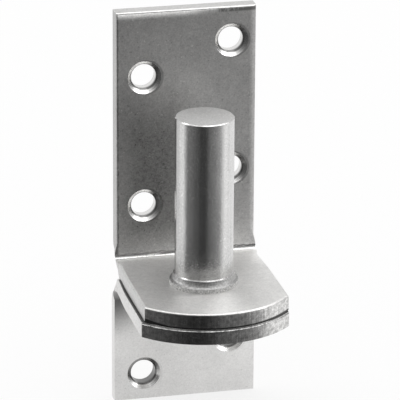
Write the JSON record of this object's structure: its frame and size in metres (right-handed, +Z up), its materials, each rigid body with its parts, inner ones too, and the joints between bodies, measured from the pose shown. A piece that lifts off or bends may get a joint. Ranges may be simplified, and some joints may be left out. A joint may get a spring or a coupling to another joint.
{
  "type": "gate hinge pin",
  "caption": "Upright round pin riveted to a bracket of bent steel strip that screws to a post, for the eye of a gate strap to turn on.",
  "frame": {"origin": "on the pin axis, at the top of the pin's collar, where the strap's eye comes to rest", "axes": "+Z up along the pin, +Y to the post that the plate is screwed to, +X to the right seen from in front"},
  "size_m": [0.0411, 0.051, 0.1132],
  "materials": {
    "zinc_strip": "bright zinc plate on rolled strip",
    "zinc_pin": "bright zinc plate on a turned pin"
  },
  "bodies": {
    "root": {"upper_plate": "zinc_strip", "lower_plate": "zinc_strip", "hinge_pin": "zinc_pin"}
  },
  "joints": []
}
